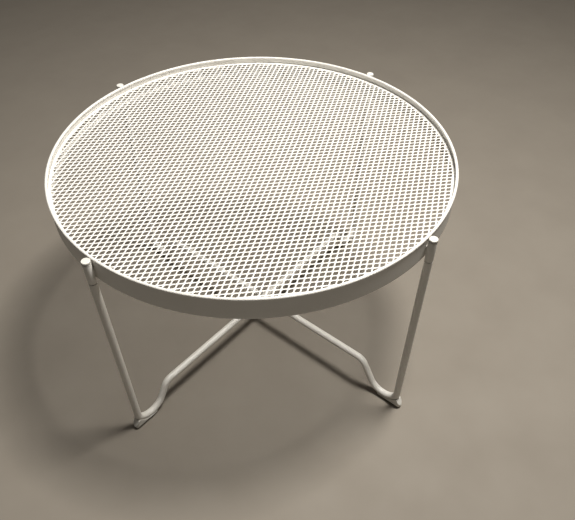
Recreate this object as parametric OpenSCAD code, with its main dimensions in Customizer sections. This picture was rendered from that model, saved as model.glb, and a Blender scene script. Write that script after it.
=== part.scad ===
// Round mesh tray table on two crossing leg frames of bent tube.
// Millimetres. The origin is on the floor under the middle of the tray, +Z up.
// The lower leg frame lies along X and the upper one along Y, and the two turn
// on one vertical bolt where they cross. East, north, west and south mean +X,
// +Y, -X and -Y.

/* [Tray] */
// Outside diameter of the tray over its rolled rim
tray_d = 730; // [640:1:800]
// Height of the rim's top above the floor
table_h = 465; // [420:1:560]
// Height of the side band, from its lower edge to the rim's top
band_h = 43.5; // [36:0.5:50]
// Thickness of the side band's sheet
band_t = 1.5; // [1:0.1:2]
// Thickness of the rolled rim
rim_d = 5.2; // [4.4:0.1:6]
// Depth of the mesh's upper face below the rim's top
mesh_drop = 13; // [9:0.5:16]

/* [Mesh] */
// Long diagonal of one diamond
diamond_long = 16.4; // [14:0.1:30]
// Short diagonal of one diamond
diamond_short = 11.4; // [10:0.1:22]
// Width of one strand
strand_w = 2.1; // [1.6:0.1:3.6]
// Thickness of the whole mesh
mesh_t = 1.4; // [1.2:0.1:2.6]
// Angle of the long diagonals from the X axis
mesh_turn = -9; // [-30:1:30]

/* [Leg frames] */
// Outside diameter of the leg tube
tube_d = 14; // [13:0.5:16]
// Wall thickness of the leg tube and of the sleeves
tube_t = 1.5; // [1:0.1:2]
// Gap between the tray's rim and the sleeves
leg_gap = 0.8; // [0.5:0.1:3]
// Distance inward from a leg's middle to the lowest point of its foot bend
toe_in = 31.5; // [28:0.5:34]
// Middle radius of the tight bend at the bottom of a leg
corner_r = 15; // [12:0.5:17]
// Middle radius of the wide bend that runs under the leg
foot_bend_r = 36.5; // [34:0.5:38]
// Slope of the tube's rise from the foot to the stretcher, in degrees
rise_angle = 60; // [55:1:65]
// Middle radius of the bend into the stretcher
shoulder_r = 22; // [18:0.5:26]
// Height of the lower stretcher's middle above the floor
stretcher_z = 63.5; // [60:0.5:70]
// Gap between the two stretchers at the crossing
crossing_gap = 1; // [0.8:0.1:3]

/* [Sleeves] */
// Distance from the band's lower edge down to the joint with the leg
joint_drop = 3; // [1:0.5:6]
// Thickness of the cap's head
cap_head_h = 4; // [3:0.5:5]
// Amount that the cap's head is wider than the sleeve
cap_lip = 0.6; // [0.4:0.1:1.2]
// Height of the cap's collar, on the sleeve's end
cap_collar_h = 2; // [1:0.1:2.5]
// Length of a cap's stem inside the sleeve
cap_stem_h = 9; // [6:0.5:10]
// Greatest length of a leg pin above the joint, without its chamfer
pin_reach = 28; // [15:0.5:28]
// Length of a leg pin below the joint
pin_depth = 30; // [20:1:40]
// Height of the bracket between a sleeve and the band
bracket_h = 14; // [10:0.5:16]
// Width of the bracket
bracket_w = 9; // [6:0.5:11]

/* [Feet] */
// Height of the tube's underside above the floor
sole_t = 5.5; // [4.5:0.5:8]
// Width of a foot
foot_w = 15; // [14.5:0.1:17]
// Width of a foot's sole
sole_w = 6; // [5:0.5:10]
// Height above the floor at which a foot reaches its full width
flare_h = 7.5; // [5:0.5:8]
// Distance that a foot reaches out past the leg's middle
foot_out = 14.2; // [13:0.1:18]
// Length of a foot along the frame
foot_l = 57; // [54:0.5:60]
// Diameter of the peg that holds a foot in the tube
peg_d = 6; // [5:0.5:7]

/* [Pivot] */
// Diameter of the pivot bolt
bolt_d = 6; // [5:0.5:7]
// Diameter of the bolt's head
bolt_head_d = 13; // [12:0.5:14]
// Width of the nut across its flats
nut_flats = 10; // [9:0.5:12]
// Height of the nut
nut_h = 5.5; // [5:0.5:7]

/* [Hidden] */
$fn = 64;
EPS = 0.01;

// Clearances
rest_gap = 0.3;     // between faces of different bodies that rest on each other
slide_gap = 0.08;   // round the leg pins and the pivot bolt
fixed_gap = 0.05;   // round pegs and stems that are pressed in

// Tray
rim_top_r = tray_d / 2;
rim_r = rim_d / 2;
band_r = rim_top_r - 1;
band_in_r = band_r - band_t;
band_z = table_h - band_h;
hem_t = 1.4;
hem_h = 6;
mesh_z = table_h - mesh_drop;
mesh_r = band_in_r - 0.5;
mesh_edge_w = 5;
strand_gap = 0.1;
strand_t = (mesh_t - strand_gap) / 2;
strand_angle = atan2(diamond_short, diamond_long);
strand_pitch = diamond_long * diamond_short / 2 / norm([diamond_long / 2, diamond_short / 2]);
strand_count = floor((mesh_r - mesh_edge_w / 2) / strand_pitch);
ledge_w = 6;
ledge_t = 1.5;
ledge_h = 12;

// Leg frames
tube_r = tube_d / 2;
bore_r = tube_r - tube_t;
leg_r = rim_top_r + leg_gap + tube_r;
low_r = leg_r - toe_in;
low_z = sole_t + tube_r;
foot_centre = [low_r, low_z + foot_bend_r];
corner_in = leg_r - corner_r - low_r;
corner_down = sqrt(pow(foot_bend_r - corner_r, 2) - pow(corner_in, 2));
corner_centre = [leg_r - corner_r, foot_centre.y - corner_down];
corner_angle = atan2(corner_down, corner_in);
rise_start = foot_centre - foot_bend_r * [sin(rise_angle), cos(rise_angle)];
rise_way = [-cos(rise_angle), sin(rise_angle)];
bends_meet = foot_centre + foot_bend_r * [cos(corner_angle), -sin(corner_angle)];
bend_step = 0.15;
lap = 0.5;
upper_stretcher_z = stretcher_z + tube_d + crossing_gap;
leg_top_z = band_z - joint_drop - rest_gap;

// Sleeves
sleeve_z = band_z - joint_drop;
cap_r = tube_r + cap_lip / 2;
cap_edge_r = 1.5;
cap_groove_h = 1;
cap_groove_r = tube_r - 0.7;
cap_collar_r = tube_r + cap_lip / 4;
cap_head_z = table_h - cap_head_h - 0.3;
sleeve_top_z = cap_head_z - cap_groove_h - cap_collar_h;
pin_r = bore_r - slide_gap;
pin_chamfer = 2;
pin_above = min(pin_reach, sleeve_top_z - cap_stem_h - 0.5 - pin_chamfer - leg_top_z);
bracket_top_z = table_h - 20;

// Feet
saddle_drop = 4.5;
foot_end_r = foot_w / 2;
foot_top_z = corner_centre.y - 11;
peg_top_z = sole_t + 6;

// Pivot
bolt_r = bolt_d / 2;
washer_r = 8;
washer_lip = 4.5;
washer_t = 1.6;
head_h = 3.4;
head_edge_r = 1.6;
head_z = upper_stretcher_z + tube_r + washer_t + 0.2;
nut_z = stretcher_z - tube_r - washer_t - nut_h;
bolt_end = 2;

// Direction in the XZ plane at an angle from +X towards +Z
function heading(angle) = [cos(angle), sin(angle)];

// Angle of a bend of this radius that is half a lap long
function short_of(radius) = lap / 2 / radius * 180 / PI;

// Length of the straight rise up to the shoulder of a stretcher at this height
function rise_l(height) =
    (height - shoulder_r * (1 - cos(rise_angle)) - rise_start.y) / sin(rise_angle);

// Middle of the shoulder bend for a stretcher at this height
function shoulder_centre(height) =
    rise_start + rise_l(height) * rise_way - shoulder_r * [sin(rise_angle), cos(rise_angle)];

SIDES = ["east", "north", "west", "south"];

steel_colour = [0.86, 0.85, 0.81];
plastic_colour = [0.80, 0.79, 0.75];
zinc_colour = [0.66, 0.67, 0.68];

// ---- General shapes ----

module ring(outer_r, inner_r, h) {
    difference() {
        cylinder(r = outer_r, h = h);
        translate([0, 0, -1]) cylinder(r = inner_r, h = h + 2);
    }
}

// A disc whose upper edge is rounded
module rounded_disc(r, h, edge_r) {
    cylinder(r = r, h = h - edge_r);
    cylinder(r = r - edge_r, h = h);
    translate([0, 0, h - edge_r]) rotate_extrude() translate([r - edge_r, 0]) circle(r = edge_r);
}

// A straight length of round bar in the XZ plane; angles turn from +X towards +Z
module bar(start, angle, l, r) {
    translate([start.x, 0, start.y]) rotate([0, 90 - angle, 0]) cylinder(r = r, h = l);
}

// A bent length of round bar in the XZ plane, drawn thinner by the bend's slight flattening
module bend(centre, radius, start, sweep, r) {
    translate([centre.x, 0, centre.y])
        rotate([90, 0, 0])
            rotate([0, 0, start])
                rotate_extrude(angle = sweep) translate([radius, 0]) circle(r = r - bend_step);
}

// ---- Tray ----

module rim_band() {
    color(steel_colour) union() {
        translate([0, 0, band_z]) ring(band_r, band_in_r, band_h - rim_r);
        translate([0, 0, band_z]) ring(band_r, band_in_r - hem_t, hem_h);
        translate([0, 0, table_h - rim_r])
            rotate_extrude() translate([rim_top_r - rim_r, 0]) circle(r = rim_r);
    }
}

module mesh_ledge() {
    color(steel_colour) translate([0, 0, mesh_z - mesh_t]) union() {
        translate([0, 0, -ledge_t]) ring(band_in_r, band_in_r - ledge_w, ledge_t);
        translate([0, 0, -ledge_h]) ring(band_in_r, band_in_r - ledge_t, ledge_h);
    }
}

// Parallel strands across the tray, at one angle
module strands(angle) {
    rotate([0, 0, angle]) for (i = [-strand_count : strand_count]) {
        offset_y = i * strand_pitch;
        half_l = sqrt(pow(mesh_r - mesh_edge_w / 2, 2) - pow(offset_y, 2));
        translate([-half_l, offset_y - strand_w / 2, 0]) cube([2 * half_l, strand_w, strand_t]);
    }
}

module tray_mesh() {
    color(steel_colour) translate([0, 0, mesh_z - mesh_t]) union() {
        ring(mesh_r, mesh_r - mesh_edge_w, mesh_t);
        strands(mesh_turn - strand_angle);
        translate([0, 0, mesh_t - strand_t]) strands(mesh_turn + strand_angle);
    }
}

// ---- Sleeves, one for each leg; turn is the leg's angle from +X ----

module sleeve(turn) {
    color(steel_colour) rotate([0, 0, turn]) translate([leg_r, 0, sleeve_z])
        ring(tube_r, bore_r, sleeve_top_z - sleeve_z);
}

module bracket(turn) {
    color(steel_colour) rotate([0, 0, turn]) difference() {
        translate([band_r - 1, -bracket_w / 2, bracket_top_z - bracket_h])
            cube([leg_r - band_r, bracket_w, bracket_h]);
        cylinder(r = band_r, h = table_h, $fn = 720);
        translate([leg_r, 0, 0]) cylinder(r = tube_r, h = table_h, $fn = 720);
    }
}

// A head, a groove, a collar on the sleeve's end, and a stem in the sleeve
module cap(turn) {
    color(plastic_colour) rotate([0, 0, turn]) translate([leg_r, 0, 0]) union() {
        translate([0, 0, cap_head_z]) rounded_disc(cap_r, cap_head_h, cap_edge_r);
        translate([0, 0, sleeve_top_z]) cylinder(r = cap_groove_r, h = cap_head_z - sleeve_top_z + 1);
        translate([0, 0, sleeve_top_z]) cylinder(r = cap_collar_r, h = cap_collar_h);
        translate([0, 0, sleeve_top_z - cap_stem_h]) cylinder(r = bore_r - fixed_gap, h = cap_stem_h + 1);
    }
}

// ---- Leg frames ----

// Half of a frame's path as solid bar of radius r, from the leg's top to the shoulder.
// The straight lengths run on past the bends' ends by lap, so that the solids join.
module half_path(height, r, leg_top) {
    bar([leg_r, corner_centre.y - lap], 90, leg_top - corner_centre.y + lap, r);
    bend(corner_centre, corner_r, short_of(corner_r) - corner_angle, corner_angle - short_of(corner_r), r);
    bar(bends_meet - lap * heading(-90 - corner_angle), -90 - corner_angle, 2 * lap, r);
    bend(foot_centre, foot_bend_r, -90 - rise_angle, 90 + rise_angle - corner_angle - short_of(foot_bend_r), r);
    bar(rise_start - lap * rise_way, 180 - rise_angle, rise_l(height) + 2 * lap, r);
    bend(shoulder_centre(height), shoulder_r, 90 - rise_angle, rise_angle, r);
}

module frame_path(height, r, leg_top) {
    half_path(height, r, leg_top);
    rotate([0, 0, 180]) half_path(height, r, leg_top);
    half_l = shoulder_centre(height).x + lap;
    bar([-half_l, height], 0, 2 * half_l, r);
}

module leg_frame(height, turn, pivot_gap) {
    color(steel_colour) rotate([0, 0, turn]) difference() {
        frame_path(height, tube_r, leg_top_z);
        frame_path(height, bore_r, leg_top_z + 1);
        translate([0, 0, height - tube_d]) cylinder(r = bolt_r + pivot_gap, h = 2 * tube_d);
        for (x = [-low_r, low_r]) translate([x, 0, 0]) cylinder(r = peg_d / 2 + fixed_gap, h = low_z);
    }
}

module leg_pin(turn, reach) {
    color(zinc_colour) rotate([0, 0, turn]) translate([leg_r, 0, leg_top_z - pin_depth]) union() {
        cylinder(r = pin_r, h = pin_depth + reach);
        if (reach > 0) translate([0, 0, pin_depth + reach - EPS])
            cylinder(r1 = pin_r, r2 = pin_r - pin_chamfer / 2, h = pin_chamfer);
    }
}

// ---- Feet ----

// Side view of a foot: flat on the floor, its outer end sloping up and in to the leg
module foot_side() {
    out_x = leg_r + foot_out;
    in_x = out_x - foot_l;
    polygon([
        [in_x, flare_h - 2],
        [in_x + 4, 0],
        [out_x - 5, 0],
        [out_x, flare_h],
        [out_x, flare_h + 2],
        [leg_r + 6, foot_top_z],
        [low_r, foot_top_z],
        [in_x, low_z]
    ]);
}

// End view of a foot: a narrow sole whose sides flare out to the full width
module foot_end() {
    polygon([
        [-sole_w / 2, 0],
        [sole_w / 2, 0],
        [foot_w / 2, flare_h],
        [foot_w / 2, foot_top_z],
        [-foot_w / 2, foot_top_z],
        [-foot_w / 2, flare_h]
    ]);
}

module foot_blank() {
    out_x = leg_r + foot_out;
    intersection() {
        translate([0, foot_w / 2, 0]) rotate([90, 0, 0]) linear_extrude(height = foot_w) foot_side();
        translate([out_x - foot_l - 1, 0, 0]) rotate([90, 0, 90]) linear_extrude(height = foot_l + 2) foot_end();
        union() {
            translate([out_x - foot_end_r, 0, 0]) cylinder(r = foot_end_r, h = table_h / 4);
            translate([out_x - foot_l + foot_end_r, 0, 0]) cylinder(r = foot_end_r, h = table_h / 4);
            translate([out_x - foot_l + foot_end_r, -foot_w / 2, 0])
                cube([foot_l - 2 * foot_end_r, foot_w, table_h / 4]);
        }
    }
}

// The space above the saddle: the inside of the two bends, less a little
module above_saddle() {
    difference() {
        translate([foot_centre.x, 0, foot_centre.y]) rotate([90, 0, 0])
            cylinder(r = foot_bend_r + saddle_drop, h = 2 * foot_w, center = true);
        translate([corner_centre.x, -foot_w, corner_centre.y])
            rotate([0, corner_angle, 0]) cube([2 * foot_bend_r, 2 * foot_w, 2 * foot_bend_r]);
    }
    translate([corner_centre.x, 0, corner_centre.y]) rotate([90, 0, 0])
        cylinder(r = corner_r + saddle_drop, h = 2 * foot_w, center = true);
}

module foot(turn) {
    color(plastic_colour) rotate([0, 0, turn]) union() {
        difference() {
            foot_blank();
            above_saddle();
            half_path(stretcher_z, tube_r, leg_top_z);
        }
        translate([low_r, 0, sole_t - 2]) cylinder(r = peg_d / 2, h = peg_top_z - sole_t + 2);
    }
}

// ---- Pivot ----

// A washer whose hollow side fits a tube along X; up is 1 with the tube below it, -1 above it
module saddle_washer(tube_z, up, hole_r) {
    side_z = up > 0 ? tube_r - washer_lip : -tube_r - washer_t;
    translate([0, 0, tube_z]) difference() {
        translate([0, 0, side_z]) cylinder(r = washer_r, h = washer_lip + washer_t);
        rotate([0, 90, 0]) cylinder(r = tube_r, h = 4 * washer_r, center = true);
        cylinder(r = hole_r, h = 4 * washer_r, center = true);
    }
}

module pivot_bolt() {
    color(zinc_colour) union() {
        translate([0, 0, nut_z - bolt_end]) cylinder(r = bolt_r, h = head_z + 1 - nut_z + bolt_end);
        translate([0, 0, head_z]) rounded_disc(bolt_head_d / 2, head_h, head_edge_r);
    }
}

module pivot_spacer() {
    color(plastic_colour) difference() {
        translate([0, 0, stretcher_z + tube_r - washer_lip])
            cylinder(r = washer_r, h = washer_lip + crossing_gap - rest_gap);
        translate([0, 0, stretcher_z]) rotate([0, 90, 0])
            cylinder(r = tube_r, h = 4 * washer_r, center = true);
        cylinder(r = bolt_r + fixed_gap, h = table_h);
    }
}

module pivot_washer_top() {
    color(plastic_colour) rotate([0, 0, 90]) saddle_washer(upper_stretcher_z, 1, bolt_r + slide_gap);
}

module pivot_washer_bottom() {
    color(plastic_colour) saddle_washer(stretcher_z, -1, bolt_r + fixed_gap);
}

module pivot_nut() {
    color(zinc_colour) translate([0, 0, nut_z]) difference() {
        cylinder(d = nut_flats / cos(30), h = nut_h, $fn = 6);
        translate([0, 0, -1]) cylinder(r = bolt_r + fixed_gap, h = nut_h + 2);
    }
}

rim_band();
mesh_ledge();
tray_mesh();
for (i = [0:3]) {
    sleeve(90 * i);
    bracket(90 * i);
    cap(90 * i);
    leg_pin(90 * i, i % 2 == 0 ? pin_above : 0);
    foot(90 * i);
}
leg_frame(stretcher_z, 0, fixed_gap);  // lower_frame
leg_frame(upper_stretcher_z, 90, slide_gap);  // upper_frame
pivot_bolt();
pivot_spacer();
pivot_washer_top();
pivot_washer_bottom();
pivot_nut();
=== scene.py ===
"""Looks of the round mesh tray table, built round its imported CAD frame.

Metres, +Z up, with the origin on the floor under the middle of the tray. The
lower leg frame lies along X and the upper one along Y. East, north, west and
south mean +X, +Y, -X and -Y, as in the CAD nodes' names.
"""
import math

import bmesh
import bpy
from mathutils import Matrix, Vector
from mathutils.geometry import tessellate_polygon


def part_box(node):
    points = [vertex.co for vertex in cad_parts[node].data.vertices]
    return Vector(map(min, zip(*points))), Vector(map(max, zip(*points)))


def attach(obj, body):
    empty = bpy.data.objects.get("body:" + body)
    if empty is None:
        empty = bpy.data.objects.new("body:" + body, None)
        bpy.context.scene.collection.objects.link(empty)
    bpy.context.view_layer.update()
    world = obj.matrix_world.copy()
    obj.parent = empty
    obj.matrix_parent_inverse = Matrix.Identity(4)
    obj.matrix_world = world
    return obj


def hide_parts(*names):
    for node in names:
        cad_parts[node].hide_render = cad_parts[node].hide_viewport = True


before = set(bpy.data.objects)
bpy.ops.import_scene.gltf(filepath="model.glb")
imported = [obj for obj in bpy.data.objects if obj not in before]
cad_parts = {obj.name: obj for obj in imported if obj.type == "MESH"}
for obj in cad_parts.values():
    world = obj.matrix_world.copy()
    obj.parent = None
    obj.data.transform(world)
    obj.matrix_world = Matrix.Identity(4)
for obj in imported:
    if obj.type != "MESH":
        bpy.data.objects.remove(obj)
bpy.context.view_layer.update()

MM = 0.001
SIDES = {"east": 0, "north": 90, "west": 180, "south": 270}

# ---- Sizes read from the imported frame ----

band_low, band_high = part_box("rim_band")
ledge_low, ledge_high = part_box("mesh_ledge")
mesh_low, mesh_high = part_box("tray_mesh")
sleeve_low, sleeve_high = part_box("sleeve_east")
cap_low, cap_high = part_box("cap_east")
bracket_low, bracket_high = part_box("bracket_east")
legs_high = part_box("lower_frame")[1]
foot_low, foot_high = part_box("foot_east")
pin_low, pin_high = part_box("leg_pin_east")
bolt_low, bolt_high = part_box("pivot_bolt")
nut_low, nut_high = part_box("pivot_nut")
washer_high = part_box("pivot_washer_top")[1]

TUBE_R = (sleeve_high.x - sleeve_low.x) / 2
LEG_R = (sleeve_high.x + sleeve_low.x) / 2
# The leg tubes stop this far under the CAD model's, so that the joint reads as a line
JOINT_LINE = 0.8 * MM
LEG_TOP = legs_high.z - JOINT_LINE

# ---- Sizes that the boxes don't give, as in the CAD model ----

TUBE_T = 1.5 * MM
BORE_R = TUBE_R - TUBE_T
TOE_IN = 31.5 * MM
CORNER_R = 15 * MM
FOOT_BEND_R = 36.5 * MM
SHOULDER_R = 22 * MM
RISE = math.radians(60)
SOLE_T = 5.5 * MM
SOLE_W = 6 * MM
FLARE_H = 7.5 * MM
WASHER_T = 1.6 * MM
CROSSING_GAP = 1 * MM
UPPER_STRETCHER = washer_high.z - WASHER_T - TUBE_R
LOWER_STRETCHER = UPPER_STRETCHER - 2 * TUBE_R - CROSSING_GAP

BAND_T = 1.5 * MM
BEAD_OVERHANG = 1 * MM
BAND_R = band_high.x - BEAD_OVERHANG
BAND_IN_R = BAND_R - BAND_T
RIM_D = 5.2 * MM
HEM_T = 1.4 * MM
HEM_H = 6 * MM
LEDGE_W = 6 * MM
LEDGE_T = 1.5 * MM

DIAMOND_LONG = 16.4 * MM
DIAMOND_SHORT = 11.4 * MM
STRAND_W = 2.1 * MM
SMALLEST_OPENING = 4 * MM * MM
MESH_TURN = math.radians(-9)


# ---- Outlines ----

def arc(centre_x, centre_y, radius, start, end, steps):
    """Points along an arc; the angles are in degrees."""
    points = []
    for step in range(steps + 1):
        angle = math.radians(start + (end - start) * step / steps)
        points.append((centre_x + radius * math.cos(angle), centre_y + radius * math.sin(angle)))
    return points


def rounded(corners, steps=4):
    """A closed outline through (x, y, radius) corners, each rounded to its radius."""
    points = []
    for i, (x, y, radius) in enumerate(corners):
        corner = Vector((x, y))
        back = (Vector(corners[i - 1][:2]) - corner).normalized()
        ahead = (Vector(corners[(i + 1) % len(corners)][:2]) - corner).normalized()
        if not radius:
            points.append((x, y))
            continue
        half = back.angle(ahead) / 2
        centre = corner + (back + ahead).normalized() * radius / math.sin(half)
        first = corner + back * radius / math.tan(half) - centre
        last = corner + ahead * radius / math.tan(half) - centre
        start = math.degrees(math.atan2(first.y, first.x))
        turn = math.degrees(math.atan2(last.y, last.x)) - start
        turn = (turn + 180) % 360 - 180
        points.extend(arc(centre.x, centre.y, radius, start, start + turn, steps))
    return points


# ---- Meshes ----

def six_sided(angle):
    """How much a circle's radius grows towards the corners of the hexagon round it."""
    return 1 / math.cos((angle + math.pi / 6) % (math.pi / 3) - math.pi / 6)


def lathe(outline, segments=64, closed=True, centre=(0, 0)):
    """Turns an outline of (radius, z) or (radius, z, "hex") points round a vertical axis."""
    bm = bmesh.new()
    rings = []
    for radius, z, *kind in outline:
        ring = []
        for i in range(segments if radius else 1):
            angle = 2 * math.pi * i / segments
            reach = radius * (six_sided(angle) if kind else 1)
            x = centre[0] + reach * math.cos(angle)
            y = centre[1] + reach * math.sin(angle)
            ring.append(bm.verts.new((x, y, z)))
        rings.append(ring)
    pairs = list(zip(rings, rings[1:]))
    if closed:
        pairs.append((rings[-1], rings[0]))
    for lower, upper in pairs:
        for i in range(segments):
            j = (i + 1) % segments
            corners = [lower[i % len(lower)], lower[j % len(lower)]]
            corners += [upper[j % len(upper)], upper[i % len(upper)]]
            bm.faces.new(list(dict.fromkeys(corners)))
    bmesh.ops.recalc_face_normals(bm, faces=bm.faces)
    return bm


def extrude(outline, low, high, axis):
    """A closed prism of an outline in the other two coordinates, from low to high along an axis."""
    bm = bmesh.new()
    ends = []
    for level in (low, high):
        places = {"X": [(level, a, b) for a, b in outline], "Y": [(a, level, b) for a, b in outline],
                  "Z": [(a, b, level) for a, b in outline]}
        ends.append([bm.verts.new(place) for place in places[axis]])
    for i in range(len(outline)):
        j = (i + 1) % len(outline)
        bm.faces.new((ends[0][i], ends[0][j], ends[1][j], ends[1][i]))
    bm.faces.new(ends[0])
    bm.faces.new(ends[1])
    bmesh.ops.recalc_face_normals(bm, faces=bm.faces)
    return bm


def sweep(bm, stations, section):
    """Rings of a section along stations (x, z, heading) in the XZ plane.

    A section point is (inward, side), where inward is left of the heading."""
    rings = []
    for x, z, heading in stations:
        inward = Vector((-math.sin(heading), 0, math.cos(heading)))
        middle = Vector((x, 0, z))
        rings.append([bm.verts.new(middle + inward * n + Vector((0, s, 0))) for n, s in section])
    for near, far in zip(rings, rings[1:]):
        for i in range(len(section)):
            j = (i + 1) % len(section)
            bm.faces.new((near[i], near[j], far[j], far[i]))
    return rings


def to_object(name, bm):
    """Puts a bmesh into the scene as an object, and frees it."""
    mesh = bpy.data.meshes.new(name)
    bm.to_mesh(mesh)
    bm.free()
    ob = bpy.data.objects.new(name, mesh)
    bpy.context.scene.collection.objects.link(ob)
    return ob


def add_piece(name, bm, material, body, sharp=40, turn=0):
    """Makes the piece that stands for the CAD node of the same name.

    Edges of more than sharp degrees stay sharp, and turn is the piece's angle from +X."""
    if turn:
        bm.transform(Matrix.Rotation(math.radians(turn), 4, "Z"))
    for face in bm.faces:
        face.smooth = True
    for edge in bm.edges:
        if len(edge.link_faces) == 2:
            edge.smooth = edge.calc_face_angle() < math.radians(sharp)
    piece = to_object(name + "_looks", bm)
    piece.data.materials.append(material)
    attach(piece, body)
    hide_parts(name)
    return piece


# ---- Materials ----

def add_node(tree, kind, inputs=None, **settings):
    """A node with its settings; an input is a value or the socket that feeds it."""
    node = tree.nodes.new(kind)
    for key, value in settings.items():
        setattr(node, key, value)
    for key, value in (inputs or {}).items():
        if isinstance(value, bpy.types.NodeSocket):
            tree.links.new(value, node.inputs[key])
        else:
            node.inputs[key].default_value = value
    return node


def start_material(name, **constants):
    """A new material, its node tree, its shader and its object coordinates."""
    material = bpy.data.materials.new(name)
    material.use_nodes = True
    tree = material.node_tree
    shader = tree.nodes["Principled BSDF"]
    for key, value in constants.items():
        shader.inputs[key.replace("_", " ")].default_value = value
    coords = add_node(tree, "ShaderNodeTexCoord").outputs["Object"]
    return material, tree, shader, coords


def noise(tree, coords, scale, detail):
    """A noise from 0 to 1; the scale is in repeats per metre."""
    inputs = {"Vector": coords, "Scale": scale, "Detail": detail}
    return add_node(tree, "ShaderNodeTexNoise", inputs).outputs["Fac"]


def span(tree, value, low, high, from_low=0.3, from_high=0.7):
    """Stretches a value's range to run from low to high."""
    inputs = {"Value": value, "From Min": from_low, "From Max": from_high, "To Min": low, "To Max": high}
    return add_node(tree, "ShaderNodeMapRange", inputs).outputs["Result"]


def times(tree, value, factor):
    return add_node(tree, "ShaderNodeMath", {0: value, 1: factor}, operation="MULTIPLY").outputs[0]


def blend_colours(tree, amount, first, second):
    """From the first colour at 0 to the second at 1; a colour is a value or a socket."""
    mix = add_node(tree, "ShaderNodeMix", data_type="RGBA")
    for socket, value in ((mix.inputs["Factor"], amount), (mix.inputs[6], first), (mix.inputs[7], second)):
        if isinstance(value, bpy.types.NodeSocket):
            tree.links.new(value, socket)
        else:
            socket.default_value = value
    return mix.outputs[2]


def bump(tree, height, distance, strength, below=None):
    """A surface relief; the distance is in metres, and below is another relief under it."""
    inputs = {"Height": height, "Distance": distance, "Strength": strength}
    if below:
        inputs["Normal"] = below
    return add_node(tree, "ShaderNodeBump", inputs).outputs["Normal"]


def crevices(tree, reach):
    """How hidden a point is, from 0 in the open to 1 in a corner."""
    hidden = add_node(tree, "ShaderNodeAmbientOcclusion", {"Distance": reach}, samples=8)
    return span(tree, hidden.outputs["AO"], 1, 0, 0.35, 0.95)


def worn_edges(tree, coords):
    """From 0 to 1 on sharp outer edges, broken up by a noise."""
    point = add_node(tree, "ShaderNodeNewGeometry").outputs["Pointiness"]
    edge = span(tree, point, 0, 1, 0.53, 0.6)
    broken = span(tree, noise(tree, coords, 260, 4), 0, 1, 0.5, 0.66)
    return times(tree, edge, broken)


def powder_coat(name, light, shade, peel=0.00004):
    """Satin powder coat: an orange-peel skin, soft tone drift, painted shade darkening its corners and gaps,
    and thin spots on edges.
    """
    material, tree, shader, coords = start_material(name, IOR=1.5)
    drift = span(tree, noise(tree, coords, 9, 4), 0, 1)
    colour = blend_colours(tree, drift, light, shade)
    speckle = span(tree, noise(tree, coords, 420, 5), 0, 0.1, 0.58, 0.75)
    colour = blend_colours(tree, speckle, colour, (0.52, 0.48, 0.41, 1))
    # Painted shade: an occlusion mask darkens corners and gaps towards a dusty brown.
    painted_corner_shade = times(tree, crevices(tree, 3 * MM), 0.22)
    colour = blend_colours(tree, painted_corner_shade, colour, (0.42, 0.38, 0.31, 1))
    thin = times(tree, worn_edges(tree, coords), 0.35)
    colour = blend_colours(tree, thin, colour, (0.6, 0.57, 0.52, 1))
    tree.links.new(colour, shader.inputs["Base Color"])
    rough = span(tree, noise(tree, coords, 70, 4), 0.36, 0.52)
    tree.links.new(rough, shader.inputs["Roughness"])
    skin = bump(tree, noise(tree, coords, 900, 2), peel, 0.7)
    waves = bump(tree, noise(tree, coords, 240, 2), peel * 2, 0.6, skin)
    tree.links.new(waves, shader.inputs["Normal"])
    return material


def moulded_plastic(name, light, shade):
    """Injection-moulded plastic: a fine spark-eroded grain, with scuffs that catch dirt."""
    material, tree, shader, coords = start_material(name, IOR=1.46)
    drift = span(tree, noise(tree, coords, 45, 4), 0, 1)
    colour = blend_colours(tree, drift, light, shade)
    scuffs = span(tree, noise(tree, coords, 380, 6), 0, 0.3, 0.56, 0.72)
    colour = blend_colours(tree, scuffs, colour, (0.38, 0.35, 0.3, 1))
    # Painted shade: an occlusion mask darkens corners and gaps towards a dark brown.
    painted_corner_shade = times(tree, crevices(tree, 4 * MM), 0.35)
    colour = blend_colours(tree, painted_corner_shade, colour, (0.3, 0.27, 0.22, 1))
    tree.links.new(colour, shader.inputs["Base Color"])
    rough = span(tree, noise(tree, coords, 160, 4), 0.46, 0.66)
    tree.links.new(rough, shader.inputs["Roughness"])
    grain = bump(tree, noise(tree, coords, 2600, 2), 0.00003, 0.8)
    tree.links.new(grain, shader.inputs["Normal"])
    return material


def plated_steel(name):
    """Bright zinc plate: bluish and yellowish patches over a fine brushed grain."""
    material, tree, shader, coords = start_material(name, Metallic=1.0)
    patches = span(tree, noise(tree, coords, 320, 4), 0, 1)
    colour = blend_colours(tree, patches, (0.62, 0.64, 0.67, 1), (0.66, 0.63, 0.56, 1))
    tree.links.new(colour, shader.inputs["Base Color"])
    rough = span(tree, noise(tree, coords, 900, 3), 0.24, 0.44)
    tree.links.new(rough, shader.inputs["Roughness"])
    grain = bump(tree, noise(tree, coords, 3200, 2), 0.00002, 0.6)
    tree.links.new(grain, shader.inputs["Normal"])
    return material


def turned_steel(name):
    """Turned bar: fine tool rings round a vertical axis, with oil stains."""
    material, tree, shader, coords = start_material(name, Metallic=1.0)
    stains = span(tree, noise(tree, coords, 130, 4), 0, 1, 0.45, 0.75)
    colour = blend_colours(tree, stains, (0.56, 0.56, 0.56, 1), (0.4, 0.37, 0.33, 1))
    tree.links.new(colour, shader.inputs["Base Color"])
    rough = span(tree, noise(tree, coords, 400, 3), 0.26, 0.46)
    tree.links.new(rough, shader.inputs["Roughness"])
    rings = add_node(
        tree, "ShaderNodeTexWave",
        {"Vector": coords, "Scale": 420, "Distortion": 0.6, "Detail": 1},
        wave_type="BANDS", bands_direction="Z",
    )
    tree.links.new(bump(tree, rings.outputs["Fac"], 0.00002, 0.8), shader.inputs["Normal"])
    return material


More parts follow.
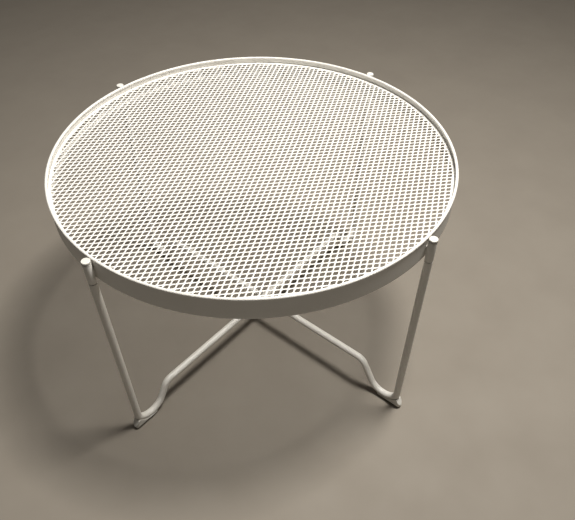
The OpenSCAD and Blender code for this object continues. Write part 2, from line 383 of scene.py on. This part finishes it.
def floor_material():
    """A plain pale floor, with a barely visible mottle."""
    material, tree, shader, coords = start_material("pale_floor")
    mottle = span(tree, noise(tree, coords, 6, 5), 0, 1)
    colour = blend_colours(tree, mottle, (0.26, 0.232, 0.194, 1), (0.24, 0.213, 0.178, 1))
    tree.links.new(colour, shader.inputs["Base Color"])
    tree.links.new(span(tree, mottle, 0.7, 0.85, 0, 1), shader.inputs["Roughness"])
    return material


COAT = powder_coat("white_powder_coat", (0.83, 0.815, 0.775, 1), (0.79, 0.77, 0.725, 1))
MESH_COAT = powder_coat("white_coat_on_mesh", (0.87, 0.86, 0.83, 1), (0.83, 0.815, 0.78, 1))
TUBE_COAT = powder_coat("white_coat_on_tube", (0.83, 0.81, 0.765, 1), (0.78, 0.76, 0.71, 1))
PLASTIC = moulded_plastic("off_white_plastic", (0.74, 0.73, 0.69, 1), (0.68, 0.66, 0.61, 1))
ZINC = plated_steel("zinc_plate")
STEEL = turned_steel("turned_steel")


# ---- Camera, lights and floor ----

def add_camera():
    """The photograph's viewing angle."""
    data = bpy.data.cameras.new("camera")
    data.lens = 37.61
    data.shift_y = 0.0534
    ob = bpy.data.objects.new("camera", data)
    ob.location = (-0.6742, -0.6399, 1.0848)
    ob.rotation_euler = (math.radians(43.07), 0, math.radians(-50.3))
    bpy.context.scene.collection.objects.link(ob)
    bpy.context.scene.camera = ob


def add_area_light(name, place, size, power, colour):
    """A round lamp that looks at the middle of the table; the power is in watts."""
    aim = Vector((0, 0, 0.3))
    data = bpy.data.lights.new(name, "AREA")
    data.shape = "DISK"
    data.size = size
    data.energy = power
    data.color = colour
    ob = bpy.data.objects.new(name, data)
    ob.location = place
    ob.rotation_euler = (aim - Vector(place)).to_track_quat("-Z", "Y").to_euler()
    bpy.context.scene.collection.objects.link(ob)


def add_stage():
    """The floor, three lamps and a faint light from all round."""
    bm = bmesh.new()
    bmesh.ops.create_grid(bm, x_segments=1, y_segments=1, size=6)
    floor = to_object("floor", bm)
    floor.data.materials.append(floor_material())
    add_area_light("key", (0.38, -0.46, 2.4), 0.5, 75, (1, 0.96, 0.9))
    add_area_light("overhead", (0.2, 0.4, 2.9), 2.2, 8, (1, 0.97, 0.92))
    add_area_light("fill", (-2.4, -1.6, 1.6), 2.4, 2, (1, 0.95, 0.88))
    world = bpy.data.worlds.new("soft_room")
    world.use_nodes = True
    world.node_tree.nodes["Background"].inputs["Color"].default_value = (0.97, 0.93, 0.86, 1)
    world.node_tree.nodes["Background"].inputs["Strength"].default_value = 0.035
    bpy.context.scene.world = world
    bpy.context.scene.view_settings.view_transform = "Standard"


# ---- Tray ----

def add_rim_band():
    """Sheet band: a hem folded in at the bottom, and the top rolled into a bead over a wire."""
    low = band_low.z
    bead_r = RIM_D / 2
    bead = (band_high.x - bead_r, band_high.z - bead_r)
    outside = math.degrees(math.asin((BAND_R - bead[0]) / bead_r)) - 90
    outline = rounded([
        (BAND_IN_R - HEM_T, low + HEM_H, 0.5 * MM),
        (BAND_IN_R - HEM_T, low, 0.6 * MM),
        (BAND_R, low, 0.9 * MM),
        (BAND_R, low + HEM_H, 0),
    ])
    outline += arc(*bead, bead_r, outside, 236, 40)
    outline.append((bead[0] - 0.9 * MM, bead[1] - 1.7 * MM))
    outline.append((BAND_IN_R - 0.3 * MM, bead[1] - 2.1 * MM))
    outline.append((BAND_IN_R, bead[1] - 2.6 * MM))
    outline.append((BAND_IN_R, low + HEM_H + 0.4 * MM))
    outline.append((BAND_IN_R - 0.3 * MM, low + HEM_H))
    add_piece("rim_band", lathe(outline, 320), COAT, "tray")


def add_mesh_ledge():
    """Rolled angle under the mesh's edge."""
    outer = ledge_high.x
    inner = outer - LEDGE_W
    outline = rounded([
        (outer, ledge_high.z, 0.3 * MM),
        (inner, ledge_high.z, 0.5 * MM),
        (inner, ledge_high.z - LEDGE_T, 0.5 * MM),
        (outer - LEDGE_T, ledge_high.z - LEDGE_T, 0.3 * MM),
        (outer - LEDGE_T, ledge_low.z, 0.5 * MM),
        (outer, ledge_low.z, 0.5 * MM),
    ])
    add_piece("mesh_ledge", lathe(outline, 240), COAT, "tray")


def clip_to_circle(corners, limit):
    """A convex polygon's part inside a circle round the origin, as (place, source) pairs.

    A source is a corner's number, or the two ends' numbers and -1 or 1 for the first or last crossing."""
    kept = []
    for i, start in enumerate(corners):
        j = (i + 1) % len(corners)
        way = corners[j] - start
        if start.length <= limit:
            kept.append((start, i))
        # The crossings of start + t * way and the circle
        a, b, c = way.length_squared, start.dot(way), start.length_squared - limit * limit
        inside = b * b - a * c
        if inside <= 0:
            continue
        for sign in (-1, 1):
            t = (-b + sign * math.sqrt(inside)) / a
            if 0 < t < 1:
                kept.append((start + way * t, (i, j, sign)))
    return kept


def polygon_area(points):
    pairs = zip(points, points[1:] + points[:1])
    return abs(sum(p.x * q.y - q.x * p.y for p, q in pairs)) / 2


class ExpandedMesh:
    """Flattened expanded metal cut to a disc, with a closed edge.

    The strands' middle lines run through a lattice of crossings, and each cell between
    four crossings holds one opening. Cells are cut off at weld_r and openings at open_r,
    and an opening's edges lie lower than the strands' middle lines by the crown."""

    def __init__(self, radius, top, bottom):
        self.radius = radius
        self.weld_r = radius - 2.5 * MM
        self.open_r = radius - 4.6 * MM
        self.top = top
        self.bottom = bottom
        self.crown = 0.25 * MM
        self.points = []
        self.faces = []
        self.shared = {}
        self.edge = {}
        turned = Matrix.Rotation(MESH_TURN, 2)
        self.step_a = turned @ Vector((DIAMOND_LONG / 2, DIAMOND_SHORT / 2))
        self.step_b = turned @ Vector((DIAMOND_LONG / 2, -DIAMOND_SHORT / 2))
        self.opening = [turned @ corner for corner in self.opening_corners()]

    def opening_corners(self):
        """The opening round its own middle: a diamond inset from the strands, with its four tips cut off."""
        half_angle = math.atan2(DIAMOND_SHORT, DIAMOND_LONG)
        half_long = DIAMOND_LONG / 2 - STRAND_W / 2 / math.sin(half_angle)
        half_short = DIAMOND_SHORT / 2 - STRAND_W / 2 / math.cos(half_angle)
        tip_cut = 0.12
        side_cut = 0.2
        tip = Vector((half_long * (1 - tip_cut), half_short * tip_cut))
        side = Vector((half_long * side_cut, half_short * (1 - side_cut)))
        quarter = [tip, side]
        upper = quarter + [Vector((-p.x, p.y)) for p in reversed(quarter)]
        return upper + [Vector((-p.x, -p.y)) for p in upper]

    def add_pair(self, place, sink=0.0):
        """Adds a point on the upper face and one below it, and returns the upper one's number."""
        self.points.append((place.x, place.y, self.top - sink))
        self.points.append((place.x, place.y, self.bottom + sink))
        return len(self.points) - 2

    def shared_pair(self, key, place):
        if key not in self.shared:
            self.shared[key] = self.add_pair(place)
            if not isinstance(key[0], int):
                self.edge[self.shared[key]] = place
        return self.shared[key]

    def cover(self, pairs, triangles):
        """Faces both sides with triangles of the numbered pairs."""
        for a, b, c in triangles:
            self.faces.append((pairs[a], pairs[b], pairs[c]))
            self.faces.append((pairs[c] + 1, pairs[b] + 1, pairs[a] + 1))

    def add_cell(self, i, j):
        nodes = [(i, j), (i, j + 1), (i + 1, j + 1), (i + 1, j)]
        corners = [self.step_a * n + self.step_b * m for n, m in nodes]
        if min(corner.length for corner in corners) > self.weld_r:
            return
        rim = []
        for place, source in clip_to_circle(corners, self.weld_r):
            if isinstance(source, int):
                key = nodes[source]
            else:
                start, end, sign = nodes[source[0]], nodes[source[1]], source[2]
                key = (start, end, sign) if start < end else (end, start, -sign)
            rim.append((place, self.shared_pair(key, place)))
        middle = (corners[0] + corners[2]) / 2
        hole = [place for place, _ in clip_to_circle([middle + p for p in self.opening], self.open_r)]
        if len(hole) > 2 and polygon_area(hole) < SMALLEST_OPENING:
            hole = []
        outlines = [[place.to_3d() for place, _ in rim]]
        pairs = [pair for _, pair in rim]
        if len(hole) > 2:
            outlines.append([place.to_3d() for place in hole])
            pairs += [self.add_pair(place, self.crown) for place in hole]
            walls = pairs[len(rim):]
            for a, b in zip(walls, walls[1:] + walls[:1]):
                self.faces.append((a, b, b + 1, a + 1))
        if len(rim) > 2:
            self.cover(pairs, tessellate_polygon(outlines))

    def add_edge(self):
        """The ring from the cut cells out to the mesh's edge."""
        inner = sorted(self.edge, key=lambda pair: math.atan2(self.edge[pair].y, self.edge[pair].x))
        outer = [self.add_pair(self.edge[pair].normalized() * self.radius, self.crown) for pair in inner]
        for k, pair in enumerate(inner):
            after = (k + 1) % len(inner)
            self.cover([pair, inner[after], outer[after], outer[k]], [(0, 1, 2), (0, 2, 3)])
            self.faces.append((outer[k], outer[after], outer[after] + 1, outer[k] + 1))

    def build(self):
        reach = int(self.radius / (DIAMOND_SHORT / 2)) + 2
        for i in range(-reach, reach):
            for j in range(-reach, reach):
                self.add_cell(i, j)
        self.add_edge()
        mesh = bpy.data.meshes.new("expanded_mesh")
        mesh.from_pydata(self.points, [], self.faces)
        bm = bmesh.new()
        bm.from_mesh(mesh)
        bpy.data.meshes.remove(mesh)
        bmesh.ops.recalc_face_normals(bm, faces=bm.faces)
        return bm


def add_tray_mesh():
    mesh = ExpandedMesh(mesh_high.x, mesh_high.z, mesh_low.z)
    add_piece("tray_mesh", mesh.build(), MESH_COAT, "tray", sharp=80)


# ---- Sleeves ----

def add_sleeve(side, turn):
    """A short tube with softened ends, open at the bottom for the leg's pin."""
    outline = rounded([
        (TUBE_R, sleeve_low.z, 0.5 * MM),
        (TUBE_R, sleeve_high.z, 0.35 * MM),
        (BORE_R, sleeve_high.z, 0.3 * MM),
        (BORE_R, sleeve_low.z, 0.5 * MM),
    ])
    bm = lathe(outline, 64, centre=(LEG_R, 0))
    add_piece("sleeve_" + side, bm, COAT, "tray", turn=turn)


def add_bracket(side, turn):
    """A spacer between the band and the sleeve, under a rippled weld down each side."""
    low = bracket_low.z
    high = bracket_high.z
    half_w = (bracket_high.y - bracket_low.y) / 2
    ripple_pitch = 1.6 * MM
    ripple_depth = 0.3 * MM
    steps = 60
    columns = 8
    inset = 0.3 * MM
    bm = bmesh.new()
    rings = []
    for step in range(steps + 1):
        share = step / steps
        z = low + (high - low) * share
        end = min(1, math.sin(math.pi * share) * 4)
        ripple = ripple_depth * abs(math.sin(math.pi * (z - low) / ripple_pitch))
        reach = (half_w - 1.2 * MM) * (0.75 + 0.25 * end) + ripple
        ring = []
        for k in range(columns + 1):
            y = reach * (1 - 2 * k / columns)
            ring.append(bm.verts.new((math.sqrt((BAND_R - inset) ** 2 - y * y), y, z)))
        for k in range(columns + 1):
            y = (reach - inset) * (2 * k / columns - 1)
            ring.append(bm.verts.new((LEG_R - math.sqrt((TUBE_R - inset) ** 2 - y * y), y, z)))
        rings.append(ring)
    for lower, upper in zip(rings, rings[1:]):
        for k in range(len(lower)):
            n = (k + 1) % len(lower)
            bm.faces.new((lower[k], lower[n], upper[n], upper[k]))
    bm.faces.new(rings[0])
    bm.faces.new(rings[-1])
    bmesh.ops.recalc_face_normals(bm, faces=bm.faces)
    add_piece("bracket_" + side, bm, COAT, "tray", turn=turn)


def add_cap(side, turn):
    """A moulded plug: a domed head, a groove, a collar on the sleeve's end, and a ribbed stem."""
    top = cap_high.z
    head_r = cap_high.x - LEG_R
    stem_r = BORE_R - 0.05 * MM
    head_low = top - 4 * MM
    outline = [(0, top), (head_r * 0.55, top - 0.02 * MM)]
    outline += arc(head_r - 1.5 * MM, top - 1.6 * MM, 1.5 * MM, 86, 0, 8)
    outline += [(head_r, head_low + 0.3 * MM), (head_r - 0.3 * MM, head_low)]
    groove_r = TUBE_R - 0.7 * MM
    collar_r = TUBE_R + 0.15 * MM
    collar_top = head_low - 1 * MM
    outline += [(groove_r, head_low), (groove_r, collar_top)]
    outline += arc(collar_r - 0.5 * MM, collar_top - 0.5 * MM, 0.5 * MM, 90, 0, 4)
    chamfer = 0.4 * MM
    outline += [(collar_r, sleeve_high.z + chamfer), (collar_r - chamfer, sleeve_high.z)]
    outline.append((stem_r, sleeve_high.z))
    notch_r = stem_r - 0.6 * MM
    for rib in range(3):
        z = sleeve_high.z - (2 + 3 * rib) * MM
        outline += [(stem_r, z), (notch_r, z - 0.3 * MM), (notch_r, z - 1.2 * MM), (stem_r, z - 1.5 * MM)]
    stem_low = cap_low.z
    outline += [(stem_r, stem_low + 1 * MM), (stem_r - 1 * MM, stem_low), (0, stem_low)]
    bm = lathe(outline, 64, closed=False, centre=(LEG_R, 0))
    add_piece("cap_" + side, bm, PLASTIC, "tray", turn=turn)


# ---- Leg frames ----

def arc_stations(centre, radius, start, end, steps):
    """Stations along an arc, headed the way that the angle runs."""
    stations = []
    lead = math.copysign(math.pi / 2, end - start)
    for step in range(steps + 1):
        angle = start + (end - start) * step / steps
        x = centre[0] + radius * math.cos(angle)
        z = centre[1] + radius * math.sin(angle)
        stations.append((x, z, angle + lead))
    return stations


def foot_bends():
    """The middles of the wide and the tight bend at a foot, and the angle at which they meet."""
    wide = (LEG_R - TOE_IN, SOLE_T + TUBE_R + FOOT_BEND_R)
    tight_x = LEG_R - CORNER_R
    drop = math.sqrt((FOOT_BEND_R - CORNER_R) ** 2 - (tight_x - wide[0]) ** 2)
    return wide, (tight_x, wide[1] - drop), math.atan2(drop, tight_x - wide[0])


def half_path(height, leg_top):
    """Stations from a leg's top down round the foot and up to a stretcher at this height."""
    foot, corner, turn = foot_bends()
    rise_x = foot[0] - FOOT_BEND_R * math.sin(RISE)
    rise_z = foot[1] - FOOT_BEND_R * math.cos(RISE)
    rise_l = (height - SHOULDER_R * (1 - math.cos(RISE)) - rise_z) / math.sin(RISE)
    shoulder_x = rise_x - rise_l * math.cos(RISE) - SHOULDER_R * math.sin(RISE)
    shoulder = (shoulder_x, height - SHOULDER_R)
    stations = [(LEG_R, leg_top, -math.pi / 2)]
    stations += arc_stations(corner, CORNER_R, 0, -turn, 10)
    stations += arc_stations(foot, FOOT_BEND_R, -turn, -math.pi / 2 - RISE, 30)[1:]
    shoulder_arc = arc_stations(shoulder, SHOULDER_R, math.pi / 2 - RISE, math.pi / 2, 16)
    turned_back = 2 * math.pi
    return stations + [(x, z, heading - turned_back) for x, z, heading in shoulder_arc]


def circle_section(radius):
    segments = 40
    angles = [2 * math.pi * k / segments for k in range(segments)]
    return [(radius * math.cos(angle), radius * math.sin(angle)) for angle in angles]


def bridge(bm, first, second):
    """Faces between two rings of points."""
    for k in range(len(first)):
        n = (k + 1) % len(first)
        bm.faces.new((first[k], first[n], second[n], second[k]))


def add_leg_frame(name, body, height, turn):
    """One bent tube with its bore, from one leg's top to the other's, its ends' outer edges broken."""
    edge = 0.5 * MM
    half = half_path(height, LEG_TOP - edge)
    stations = half + [(-x, z, -heading - 2 * math.pi) for x, z, heading in reversed(half)]
    bm = bmesh.new()
    outside = sweep(bm, stations, circle_section(TUBE_R))
    inside = sweep(bm, stations, circle_section(BORE_R))
    for end, x in ((0, LEG_R), (-1, -LEG_R)):
        rim = [bm.verts.new((x + (v.co.x - x) * (1 - edge / TUBE_R), v.co.y * (1 - edge / TUBE_R), LEG_TOP))
               for v in outside[end]]
        bridge(bm, outside[end], rim)
        bridge(bm, rim, inside[end])
    bmesh.ops.recalc_face_normals(bm, faces=bm.faces)
    add_piece(name, bm, TUBE_COAT, body, turn=turn)


def add_leg_pin(side, body, turn):
    """A turned pin with a chamfered end and two shallow grooves."""
    low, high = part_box("leg_pin_" + side)
    radius = (pin_high.x - pin_low.x) / 2
    groove_r = radius - 0.4 * MM
    outline = [(0, low.z), (radius - 1 * MM, low.z), (radius, low.z + 1 * MM)]
    for drop in (24 * MM, 18 * MM):
        if high.z - LEG_TOP > drop:
            z = high.z - drop
            outline += [(radius, z), (groove_r, z + 0.4 * MM)]
            outline += [(groove_r, z + 1.4 * MM), (radius, z + 1.8 * MM)]
    outline += [(radius, high.z - 2 * MM), (radius - 1.2 * MM, high.z), (0, high.z)]
    bm = lathe(outline, 48, closed=False, centre=(LEG_R, 0))
    add_piece("leg_pin_" + side, bm, STEEL, body, turn=turn)


# ---- Feet ----

def cut_with(ob, cutter, operation):
    """Intersects an object with another or takes the other from it."""
    modifier = ob.modifiers.new("cut", "BOOLEAN")
    modifier.operation = operation
    modifier.solver = "EXACT"
    modifier.object = cutter


def applied(ob):
    """The mesh with its modifiers in place, as a bmesh."""
    graph = bpy.context.evaluated_depsgraph_get()
    bm = bmesh.new()
    bm.from_object(ob, graph)
    return bm


def foot_side():
    """Side view of a foot: a flat sole, an outer end that slopes up and in, and a top along the bends."""
    wide, tight, turn = foot_bends()
    lip = 4.5 * MM
    out_x = foot_high.x
    in_x = foot_low.x
    wide_r = FOOT_BEND_R + lip
    meet = -math.degrees(turn)
    back = -math.degrees(math.acos((in_x - wide[0]) / wide_r))
    front = -math.degrees(math.asin((tight[1] - foot_high.z) / (CORNER_R + lip)))
    top = arc(*tight, CORNER_R + lip, front, meet, 12) + arc(*wide, wide_r, meet, back, 24)[1:]
    lower = [
        (in_x, FLARE_H - 2 * MM, 1 * MM),
        (in_x + 4 * MM, 0, 1 * MM),
        (out_x - 5 * MM, 0, 1 * MM),
        (out_x, FLARE_H, 0.8 * MM),
        (out_x, FLARE_H + 2 * MM, 0.8 * MM),
        (LEG_R + 6 * MM, foot_high.z, 0),
        (*top[0], 0),
    ]
    return rounded(lower + [(*point, 0) for point in top[1:]])


def foot_front():
    """End view of a foot: a narrow sole whose sides flare out to the full width."""
    half_w = foot_high.y
    half_sole = SOLE_W / 2
    right = [(half_sole, 0), (half_w, FLARE_H), (half_w, 2 * foot_high.z)]
    return right + [(-y, z) for y, z in reversed(right)]


def foot_plan():
    """Plan of a foot: straight sides with round ends."""
    end_r = (foot_high.y - foot_low.y) / 2
    return arc(foot_high.x - end_r, 0, end_r, -90, 90, 16) + arc(foot_low.x + end_r, 0, end_r, 90, 270, 16)


def saddle_cutter():
    """Solid bar in the tube's place."""
    clearance = 0.05 * MM
    bm = bmesh.new()
    rings = sweep(bm, half_path(LOWER_STRETCHER, 3 * foot_high.z), circle_section(TUBE_R + clearance))
    bm.faces.new(rings[0])
    bm.faces.new(rings[-1])
    bmesh.ops.recalc_face_normals(bm, faces=bm.faces)
    return bm


def make_foot():
    """A moulded foot: the blank less its saddle, with every edge softened."""
    half_w = (foot_high.y - foot_low.y) / 2
    foot = to_object("foot_blank", extrude(foot_side(), -half_w, half_w, "Y"))
    tools = [to_object("foot_plan", extrude(foot_plan(), -1 * MM, 60 * MM, "Z")),
             to_object("foot_front", extrude(foot_front(), foot_low.x - 1 * MM, foot_high.x + 1 * MM, "X")),
             to_object("saddle", saddle_cutter())]
    cut_with(foot, tools[0], "INTERSECT")
    cut_with(foot, tools[1], "INTERSECT")
    cut_with(foot, tools[2], "DIFFERENCE")
    remesh = foot.modifiers.new("even", "REMESH")
    remesh.mode = "VOXEL"
    remesh.voxel_size = 0.45 * MM
    soften = foot.modifiers.new("soften", "SMOOTH")
    soften.factor = 0.5
    soften.iterations = 5
    thin = foot.modifiers.new("thin", "DECIMATE")
    thin.ratio = 0.4
    bm = applied(foot)
    for ob in [foot] + tools:
        bpy.data.objects.remove(ob)
    return bm


def add_feet():
    shape = make_foot()
    for side, turn in SIDES.items():
        body = "lower_legs" if side in ("east", "west") else "upper_legs"
        add_piece("foot_" + side, shape.copy(), PLASTIC, body, sharp=60, turn=turn)
    shape.free()


# ---- Pivot ----

def add_pivot_bolt():
    """A low domed head with a hexagonal socket, on a threaded shank."""
    head_r = bolt_high.x
    top = bolt_high.z
    under = top - 3.4 * MM
    shank_r = 3 * MM
    socket = 2 * MM
    outline = [(0, top - 2.2 * MM), (socket, top - 2 * MM, "hex"), (socket, top - 0.3 * MM, "hex"),
               (socket * 1.25, top)]
    outline += arc(head_r - 1.6 * MM, top - 1.6 * MM, 1.6 * MM, 90, 0, 8)
    outline += [(head_r, under + 0.4 * MM), (head_r - 0.4 * MM, under), (shank_r, under)]
    pitch = 1 * MM
    turns = int((under - bolt_low.z - 1 * MM) / pitch)
    for k in range(turns):
        z = under - k * pitch
        outline += [(shank_r, z - 0.35 * pitch), (shank_r - 0.4 * MM, z - 0.85 * pitch)]
    outline += [(shank_r - 0.5 * MM, bolt_low.z), (0, bolt_low.z)]
    add_piece("pivot_bolt", lathe(outline, 48, closed=False), ZINC, "lower_legs", sharp=35)


def add_pivot_nut():
    """A hexagonal nut with chamfered faces."""
    half = (nut_high.y - nut_low.y) / 2
    bore = 3 * MM
    edge = 0.9 * MM
    low = nut_low.z
    high = nut_high.z
    face_r = half * 0.97
    sink = 0.4 * MM
    outline = [(bore + sink, low), (face_r, low), (half, low + edge, "hex"), (half, high - edge, "hex")]
    outline += [(face_r, high), (bore + sink, high), (bore, high - sink), (bore, low + sink)]
    add_piece("pivot_nut", lathe(outline, 48), ZINC, "lower_legs", sharp=30)


def finish_cad_node(node, material):
    """Gives a CAD node that stays in view its material."""
    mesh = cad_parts[node].data
    mesh.materials.clear()
    mesh.materials.append(material)


# ---- The table ----

add_camera()
add_stage()
add_rim_band()
add_mesh_ledge()
add_tray_mesh()
for side, turn in SIDES.items():
    add_sleeve(side, turn)
    add_bracket(side, turn)
    add_cap(side, turn)
add_leg_frame("lower_frame", "lower_legs", LOWER_STRETCHER, 0)
add_leg_frame("upper_frame", "upper_legs", UPPER_STRETCHER, 90)
for side, turn in SIDES.items():
    add_leg_pin(side, "lower_legs" if side in ("east", "west") else "upper_legs", turn)
add_feet()
add_pivot_bolt()
add_pivot_nut()
for node in ("pivot_spacer", "pivot_washer_top", "pivot_washer_bottom"):
    finish_cad_node(node, PLASTIC)
